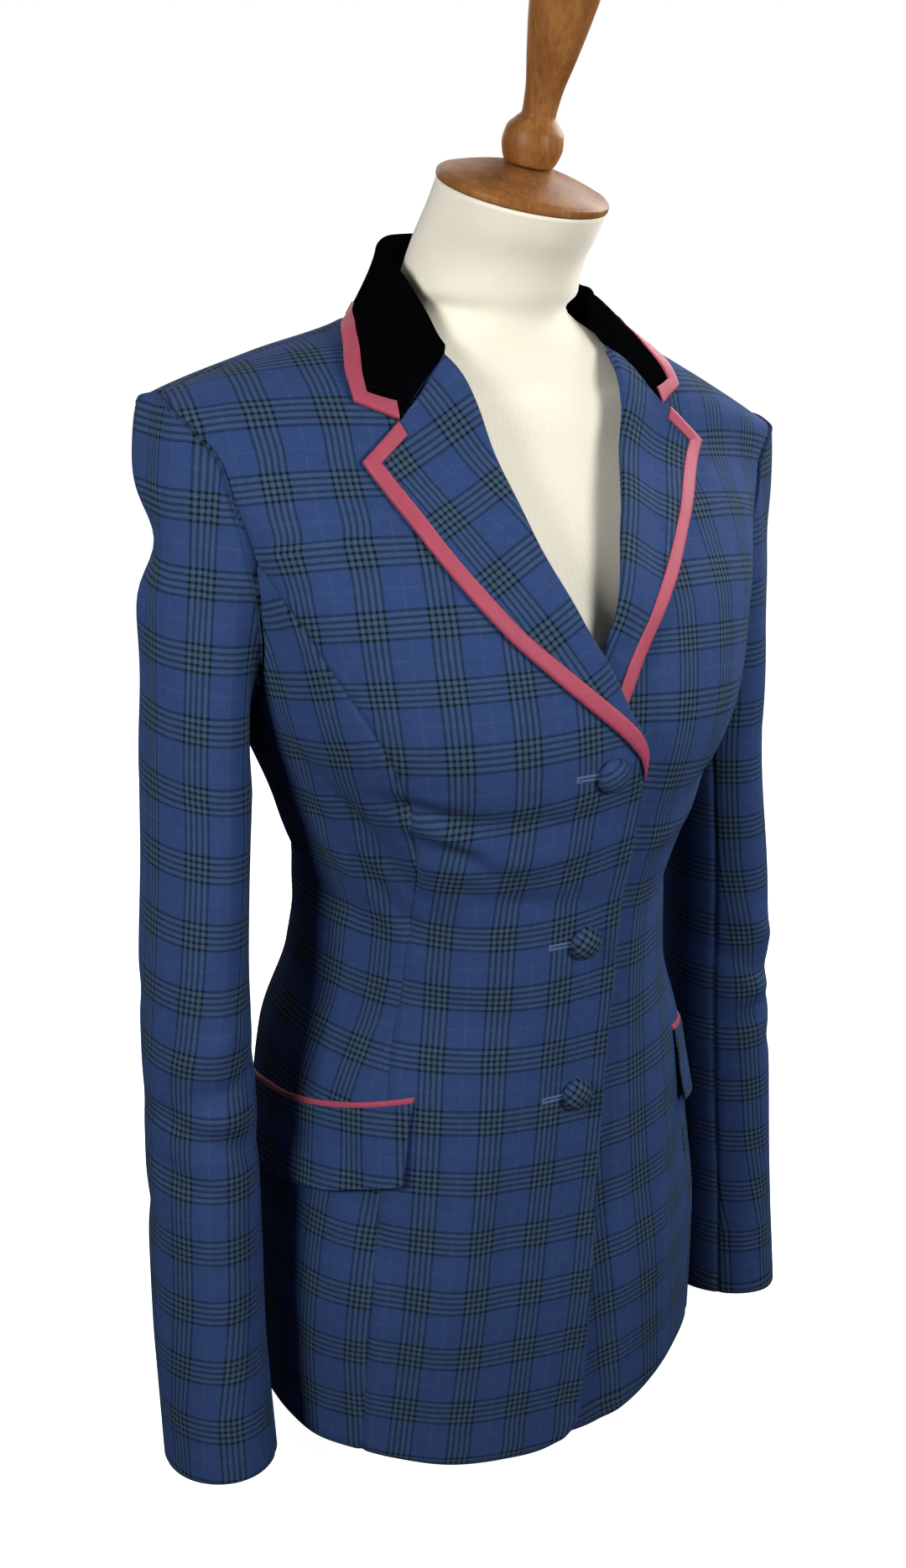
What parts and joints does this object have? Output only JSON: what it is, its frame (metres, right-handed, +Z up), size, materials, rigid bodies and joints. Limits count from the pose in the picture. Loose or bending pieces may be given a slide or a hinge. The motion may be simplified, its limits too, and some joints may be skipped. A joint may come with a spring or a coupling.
{
  "type": "hunt coat on a dress form",
  "caption": "Fitted checked hunt coat with a velvet collar, ribbon-bound lapels and slanting flap pockets, buttoned on a limbless dress form with a wooden neck cap and finial.",
  "frame": {"origin": "centre of the dress form's flat base", "axes": "+Z up along the form, -Y the way the coat faces, +X towards the coat's own left side"},
  "size_m": [0.471, 0.2856, 0.9032],
  "materials": {
    "checked_wool": "matt wool twill",
    "velvet": "short-pile velvet",
    "ribbon": "ribbed ribbon with a slight sheen",
    "jersey": "matt knitted cover",
    "wood": "varnished"
  },
  "bodies": {
    "root": {"front_right": "checked_wool", "front_left": "checked_wool", "side_right": "checked_wool", "side_left": "checked_wool", "back_right": "checked_wool", "back_left": "checked_wool", "top_sleeve_right": "checked_wool", "top_sleeve_left": "checked_wool", "under_sleeve_right": "checked_wool", "under_sleeve_left": "checked_wool", "lapel_right": "checked_wool", "lapel_left": "checked_wool", "pocket_flap_right": "checked_wool", "pocket_flap_left": "checked_wool", "button_top": "checked_wool", "button_middle": "checked_wool", "button_bottom": "checked_wool", "lapel_binding_right": "ribbon", "lapel_binding_left": "ribbon", "pocket_welt_right": "ribbon", "pocket_welt_left": "ribbon", "collar_binding": "ribbon", "collar": "velvet", "form_torso": "jersey", "form_neck_cap": "wood", "form_finial": "wood"}
  },
  "joints": []
}
